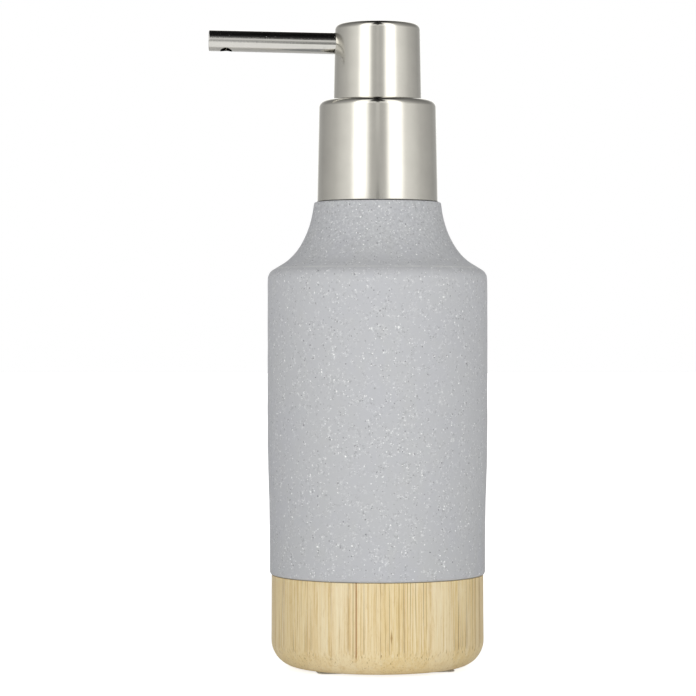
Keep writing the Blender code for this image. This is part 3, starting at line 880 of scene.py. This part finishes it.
def dip_tube():
    low, high = low_z("dip_tube"), high_z("dip_tube")
    outer, inner = width_r("dip_tube"), 2.0
    outline = [(inner, low)] + between((outer, low), (outer, high), 5.0) + [(outer, high), (inner, high)]
    tube = lathe("suction_tube", outline, TINY_AROUND)
    for vertex in tube.data.vertices:
        if vertex.co.z < (low + 1.0) * MM:
            vertex.co.z += (vertex.co.x + outer * MM) * 0.5
    return tube


def return_spring():
    """A compression spring with a closed coil at each end."""
    wire_r = SPRING_WIRE_R
    turns_in_all = 8
    facets = 16
    low = low_z("return_spring") + wire_r
    high = high_z("return_spring") - wire_r
    closed = 2.2 * wire_r

    def centreline(t):
        turns = turns_in_all * t
        lead = (high - low - 2.0 * closed) / (turns_in_all - 2)
        middle = min(max(turns - 1.0, 0.0), turns_in_all - 2.0)
        ends = min(turns, 1.0) + max(turns - turns_in_all + 1.0, 0.0)
        return math.tau * turns, SPRING_R, low + ends * closed + middle * lead, 1.0

    angles = [math.tau * i / facets for i in range(facets)]
    section = [(wire_r * math.cos(angle), wire_r * math.sin(angle)) for angle in angles]
    return coil("compression_spring", section, centreline, turns_in_all * 48)


def inlet_ball():
    low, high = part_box("inlet_ball")
    bm = bmesh.new()
    bmesh.ops.create_icosphere(bm, subdivisions=4, radius=(high[2] - low[2]) / 2.0 / MM)
    bmesh.ops.translate(bm, vec=(0.0, 0.0, (low[2] + high[2]) / 2.0 / MM), verts=bm.verts[:])
    return place("valve_ball", bm)


def piston_rod():
    seat_low, seat_high = low_z("piston_rod") + 3.0, low_z("piston_rod") + 5.0
    top = high_z("piston_rod")
    outline = rounded([
        (0.0, seat_low - 3.0),
        (2.4, seat_low - 3.0, 0.2),
        (3.0, seat_low - 2.4, 0.2),
        (3.0, seat_low, 0.2),
        (5.0, seat_low, 0.3),
        (5.0, seat_high - 0.6, 0.2),
        (4.0, seat_high, 0.2),
        (2.1, seat_high, 0.3),
        (2.1, top - 0.8, 0.2),
        (1.5, top, 0.2),
        (0.0, top),
    ], steps=4)
    rod = lathe("valve_rod", outline, TINY_AROUND)
    for index in range(3):
        angle = math.tau * (index + 0.5) / 3.0
        centre = Vector((math.cos(angle), math.sin(angle), 0.0)) * 2.25
        start, end = centre + Vector((0, 0, seat_high + 1.0)), centre + Vector((0, 0, top + 1.0))
        combine(rod, rod_between("flute", 0.6, start, end, 32), "DIFFERENCE")
    return rod


def piston():
    low, high = low_z("piston"), high_z("piston")
    lip = 6.25
    outline = rounded([
        (2.35, low, 0.2),
        (4.0, low, 0.3),
        (4.4, low + 1.6, 0.4),
        (lip - 0.5, low + 0.2, 0.15),
        (lip, low + 0.2, 0.15),
        (lip - 0.4, low + 2.6, 0.8),
        (lip - 0.4, high - 2.6, 0.8),
        (lip, high - 0.8, 0.15),
        (lip - 0.5, high - 0.8, 0.15),
        (4.2, high - 2.0, 0.4),
        (3.6, high, 0.3),
        (2.35, high, 0.2),
    ], steps=4)
    return lathe("lip_piston", outline, SMALL_AROUND)


def stem():
    low, high = low_z("stem"), high_z("stem")
    outline = rounded([
        (2.45, low, 0.3),
        (4.6, low, 0.4),
        (4.6, low + 2.4, 0.3),
        (3.6, low + 2.4, 0.3),
        (3.6, high, 0.3),
        (2.45, high, 0.2),
    ], steps=4)
    return lathe("hollow_stem", outline, SMALL_AROUND)


# --------------------------------------------------------------------------------------------------
# Head
# --------------------------------------------------------------------------------------------------

def spout_point(distance):
    """A point on the spout's tilted axis, at a horizontal distance from the pump's axis."""
    return Vector((-distance, 0.0, SPOUT_AXIS_Z + distance * math.tan(SPOUT_TILT)))


def head_shell():
    low, high = low_z("head_shell"), high_z("head_shell")
    low_r = width_r("head_shell")
    high_r = low_r - HEAD_TAPER
    shell = lathe("head_cover", cup_outline(low, high, low_r, high_r, HEAD_EDGE, 0.0), FINE_AROUND)
    hole = rod_between("hole", SPOUT_ROOT_R + 0.2, spout_point(10.0), spout_point(18.0))
    combine(shell, hole, "DIFFERENCE")
    follow_wall(shell, cone_normal(math.atan((low_r - high_r) / (high - low))), within=4.0)
    return shell


def actuator_insert():
    low, top = low_z("actuator_insert"), high_z("actuator_insert")
    r = width_r("actuator_insert")
    rim = 186.0
    outline = rounded([
        (0.0, top),
        (r, top, 1.2),
        (r, rim, 0.3),
        (r - 1.3, rim, 0.3),
        (r - 1.3, top - 1.6, 0.6),
        (5.6, top - 1.6, 0.6),
        (5.6, low, 0.4),
        (0.0, low),
    ], steps=4)
    core = lathe("head_core", outline, SMALL_AROUND)
    combine(core, rod_between("boss", 4.9, spout_point(0.0), spout_point(r - 0.8), TINY_AROUND), "UNION")
    for turn in (-60.0, 0.0, 60.0):
        combine(core, block("rib", (5.0, -0.6, rim + 4.0), (r - 0.7, 0.6, top - 1.0), turn), "UNION")
    stem_top = high_z("stem")
    cuts = [
        (3.8, (0, 0, low - 1.0), (0, 0, stem_top + 0.3)),
        (2.0, (0, 0, stem_top - 1.0), (0, 0, SPOUT_AXIS_Z + 1.0)),
        (2.1, spout_point(-1.5), spout_point(SPOUT_ROOT)),
        (SPOUT_ROOT_R + 0.15, spout_point(SPOUT_ROOT - 0.3), spout_point(18.0)),
    ]
    for radius, start, end in cuts:
        combine(core, rod_between("cut", radius, start, end, TINY_AROUND), "DIFFERENCE")
    return core


def along_spout(piece, distance):
    """Turn a lathed piece's mesh so that it stands on the spout's axis, pointing away from the head."""
    turn = Matrix.Rotation(SPOUT_TILT - math.pi / 2.0, 4, "Y")
    piece.data.transform(Matrix.Translation(spout_point(distance) * MM) @ turn)
    return piece


def spout_tube():
    length = (SPOUT_TIP - SPOUT_ROOT) / math.cos(SPOUT_TILT)
    outline = rounded([
        (SPOUT_BORE_R, 0.0),
        (SPOUT_ROOT_R, 0.0, 0.15),
        (SPOUT_R, length, 0.25),
        (SPOUT_BORE_R, length, 0.15),
    ], steps=5)
    tube = along_spout(lathe("spout_pipe", outline, 128), SPOUT_ROOT)
    centre = spout_point(OUTLET_FROM_AXIS)
    turn = math.radians(OUTLET_TURN)
    down = Vector((0.0, -math.sin(turn), -math.cos(turn)))
    combine(tube, rod_between("outlet", OUTLET_R, centre + down * 6.0, centre, TINY_AROUND), "DIFFERENCE")
    axis = (spout_point(1.0) - spout_point(0.0)).normalized()

    def normal(point):
        arm = point - spout_point(0.0) * MM
        return (arm - axis * arm.dot(axis)).normalized()

    follow_wall(tube, normal, within=4.0)
    return tube


def spout_end_plug():
    r = SPOUT_BORE_R - 0.15
    outline = rounded([(0.0, 0.0), (r, 0.0, 0.15), (r, 1.5, 0.25), (0.0, 1.5)], steps=5)
    return along_spout(lathe("spout_tip_disc", outline, SMALL_AROUND), SPOUT_TIP - 1.75)


# --------------------------------------------------------------------------------------------------
# Assembly
# --------------------------------------------------------------------------------------------------

def add(piece, node, body, finish):
    """Give a piece its finish, and let it ride on its body in place of its CAD node."""
    piece.data.materials.clear()
    piece.data.materials.append(finish)
    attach(piece, body)
    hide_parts(node)
    return piece


def build():
    white = moulded("white_polypropylene", (238, 238, 233), 0.42)
    natural = moulded("natural_polypropylene", (226, 231, 230), 0.3, clear=0.35)
    satin = nickel("satin_nickel", 0.13, (217, 214, 205))
    bright = nickel("bright_nickel", 0.08, (218, 216, 210), wear=0.015)
    spout = nickel("spout_nickel", 0.07, (218, 216, 210), wear=0.015, around_spout=True)

    base = bamboo_base()
    bottle = body_shell()
    roughen(base, 0.05, 6.0, RECESS_R + 1.0)
    roughen(bottle, 0.07, 5.0, SHOULDER_CENTRE[0] - SHOULDER_AXES[0] - 0.5)
    add(foot_pad(), "foot_pad", "bottle", foam("anti_slip_foam", (226, 223, 214), 0.35))
    add(base, "bamboo_base", "bottle", bamboo())
    add(bottle, "body_shell", "bottle", speckled_resin())
    add(bottom_plug(), "bottom_plug", "bottle", white)
    add(neck_insert(), "neck_insert", "bottle", white)

    add(closure_cap(), "closure_cap", "collar", white)
    add(collar_shell(), "collar_shell", "collar", satin)

    add(pump_cylinder(), "pump_cylinder", "pump", natural)
    add(chaplet(), "chaplet", "pump", white)
    add(neck_gasket(), "neck_gasket", "pump", foam("washer_foam", (229, 227, 220), 0.25))
    add(dip_tube(), "dip_tube", "pump", natural)
    spring = add(return_spring(), "return_spring", "pump", steel("spring_steel", True))
    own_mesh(spring)
    add(inlet_ball(), "inlet_ball", "inlet_ball", steel("ball_steel", False))

    add(piston_rod(), "piston_rod", "rod", white)
    soft = moulded("soft_polyethylene", (214, 222, 230), 0.5)
    add(piston(), "piston", "piston", soft)

    add(stem(), "stem", "head", white)
    add(actuator_insert(), "actuator_insert", "head", white)
    add(head_shell(), "head_shell", "head", satin)
    add(spout_tube(), "spout_tube", "head", spout)
    add(spout_end_plug(), "spout_end_plug", "head", bright)


# --------------------------------------------------------------------------------------------------
# Floor, light and camera
# --------------------------------------------------------------------------------------------------

def pale_floor():
    """A wide matte sheet with a glow of its own: even to the camera, and uneven in reflections."""
    bm = bmesh.new()
    bmesh.ops.create_grid(bm, x_segments=2, y_segments=2, size=6000.0)
    floor = place("floor", bm)
    n = Nodes("pale_floor", roughness=0.9)
    n.set("Specular IOR Level", 0.1)
    n.set("Emission Color", (1.0, 1.0, 1.0, 1.0))
    grain = n.noise(n.place, 0.02, 2.0)
    _, _, distance = n.polar()
    x, y, _ = n.axes()
    near = n.span(y, -75.0, -15.0, 0.55, 0.13, smooth=True)
    far = n.span(distance, 500.0, 1200.0, 1.0, 0.2, smooth=True)
    # A darker strip well in front of the bottle, which shows as a thin dark line along the spout.
    narrow = n.span(n.math("ABSOLUTE", x), 45.0, 75.0, 1.0, 0.0)
    strip = n.times(narrow, n.span(y, -570.0, -470.0, 1.0, 0.0))
    far = n.times(far, n.math("SUBTRACT", 1.0, n.times(strip, 0.9)))
    path = n.tree.nodes.new("ShaderNodeLightPath")
    seen = path.outputs["Is Camera Ray"]
    glow = n.math("ADD", n.times(n.times(near, far), n.math("SUBTRACT", 1.0, seen)),
                  n.times(seen, FLOOR_SEEN))
    n.link(glow, n.shader.inputs["Emission Strength"])
    sheet = n.mix(grain, (0.80, 0.80, 0.80, 1.0), (0.82, 0.82, 0.82, 1.0))
    floor.data.materials.append(n.finish(n.mix(strip, sheet, (0.3, 0.3, 0.3, 1.0))))


def studio():
    """Two tall soft lights either side of the camera, dimmer walls, a dark ceiling, a white backdrop."""
    world = bpy.data.worlds.new("studio")
    bpy.context.scene.world = world
    world.use_nodes = True
    tree = world.node_tree
    tree.nodes.clear()
    link = tree.links.new
    where = tree.nodes.new("ShaderNodeTexCoord")
    split = tree.nodes.new("ShaderNodeSeparateXYZ")
    link(where.outputs["Generated"], split.inputs[0])

    def calc(operation, first, second=0.0):
        node = tree.nodes.new("ShaderNodeMath")
        node.operation = operation
        for socket, value in zip(node.inputs, (first, second)):
            if isinstance(value, bpy.types.NodeSocket):
                link(value, socket)
            else:
                socket.default_value = value
        return node.outputs[0]

    def ramp(value, stops):
        node = tree.nodes.new("ShaderNodeValToRGB")
        node.color_ramp.interpolation = "LINEAR"
        elements = node.color_ramp.elements
        while len(elements) > 1:
            elements.remove(elements[-1])
        for index, (position, level) in enumerate(stops):
            element = elements[0] if index == 0 else elements.new(position)
            element.position = position
            element.color = (level, level, level, 1.0)
        link(value, node.inputs[0])
        return node.outputs[0]

    def blend(first, second, share):
        """From first to second, as share goes from 0 to 1."""
        rest = calc("SUBTRACT", 1.0, share)
        return calc("ADD", calc("MULTIPLY", first, rest), calc("MULTIPLY", second, share))

    x, y, z = split.outputs
    front_angle = calc("ARCTAN2", calc("ABSOLUTE", x), calc("MULTIPLY", y, -1.0))
    degrees = calc("MULTIPLY", front_angle, 180.0 / math.pi)
    turned = calc("DIVIDE", degrees, 180.0)
    walls = ramp(turned, [
        (0.0, 0.30), (9 / 180, 0.31), (15 / 180, 0.38), (20 / 180, 0.72), (24 / 180, 1.0), (45 / 180, 1.0),
        (49 / 180, 0.78), (54 / 180, 0.56), (60 / 180, 0.51), (75 / 180, 0.43), (90 / 180, 0.33),
        (110 / 180, 0.27), (132 / 180, 0.22), (154 / 180, 0.25), (166 / 180, 0.6), (1.0, 0.9),
    ])
    up = calc("ADD", calc("MULTIPLY", z, 0.5), 0.5)
    between_lights = ramp(up, [
        (0.0, 1.0), (0.8, 1.0), (0.825, 0.4), (0.86, 0.08), (0.91, 0.03), (0.96, 0.015), (1.0, 0.006),
    ])
    straight_ahead = ramp(up, [
        (0.0, 0.25), (0.498, 0.25), (0.512, 0.9), (0.55, 1.0), (0.6, 1.35), (0.69, 1.35), (0.72, 0.3),
        (0.75, 0.08), (0.85, 0.06), (0.91, 0.03), (0.96, 0.015), (1.0, 0.006),
    ])
    narrow = ramp(calc("DIVIDE", degrees, 10.0), [(0.0, 1.0), (0.25, 1.0), (0.4, 0.0)])
    at_lights = ramp(up, [(0.0, 1.0), (0.8, 1.0), (0.9, 0.85), (0.95, 0.5), (0.98, 0.12), (1.0, 0.006)])
    at_sides = ramp(up, [
        (0.0, 1.0), (0.6, 1.0), (0.68, 0.72), (0.8, 0.55), (0.93, 0.45), (0.97, 0.2), (1.0, 0.006),
    ])
    gap = ramp(turned, [
        (0.0, 1.0), (15 / 180, 1.0), (21 / 180, 0.0), (140 / 180, 0.0), (165 / 180, 1.0), (1.0, 1.0),
    ])
    beside = ramp(turned, [(47 / 180, 0.0), (60 / 180, 1.0)])
    outside = blend(at_lights, at_sides, beside)
    rise = blend(blend(outside, between_lights, gap), straight_ahead, narrow)
    overhead = ramp(up, [(0.64, 0.0), (0.69, 1.0), (0.765, 1.0), (0.785, 0.0)])
    ahead = ramp(turned, [(0.0, 0.17), (30 / 180, 0.17), (70 / 180, 0.0)])
    soft = calc("MULTIPLY", calc("MULTIPLY", overhead, ahead), calc("SUBTRACT", 1.0, narrow))
    level = calc("MULTIPLY", calc("ADD", calc("MULTIPLY", walls, rise), soft), STUDIO_LEVEL)
    glow = tree.nodes.new("ShaderNodeBackground")
    glow.inputs["Color"].default_value = (1.0, 0.998, 0.99, 1.0)
    link(level, glow.inputs["Strength"])
    backdrop = tree.nodes.new("ShaderNodeBackground")
    backdrop.inputs["Color"].default_value = (1.0, 1.0, 1.0, 1.0)
    path = tree.nodes.new("ShaderNodeLightPath")
    choose = tree.nodes.new("ShaderNodeMixShader")
    link(path.outputs["Is Camera Ray"], choose.inputs[0])
    link(glow.outputs[0], choose.inputs[1])
    link(backdrop.outputs[0], choose.inputs[2])
    output = tree.nodes.new("ShaderNodeOutputWorld")
    link(choose.outputs[0], output.inputs[0])
    bpy.context.scene.view_settings.view_transform = "Standard"


def camera():
    """At the viewing angle: level with the bottle's middle and a little left of the pump's axis."""
    data = bpy.data.cameras.new("camera")
    data.sensor_width = SENSOR_MM
    data.lens = LENS_MM
    data.clip_start = 0.05
    data.clip_end = 50.0
    view = bpy.data.objects.new("camera", data)
    view.location = CAMERA_AT
    view.rotation_euler = (math.pi / 2.0 - CAMERA_DOWN, 0.0, 0.0)
    bpy.context.scene.collection.objects.link(view)
    bpy.context.scene.camera = view


build()
pale_floor()
studio()
camera()
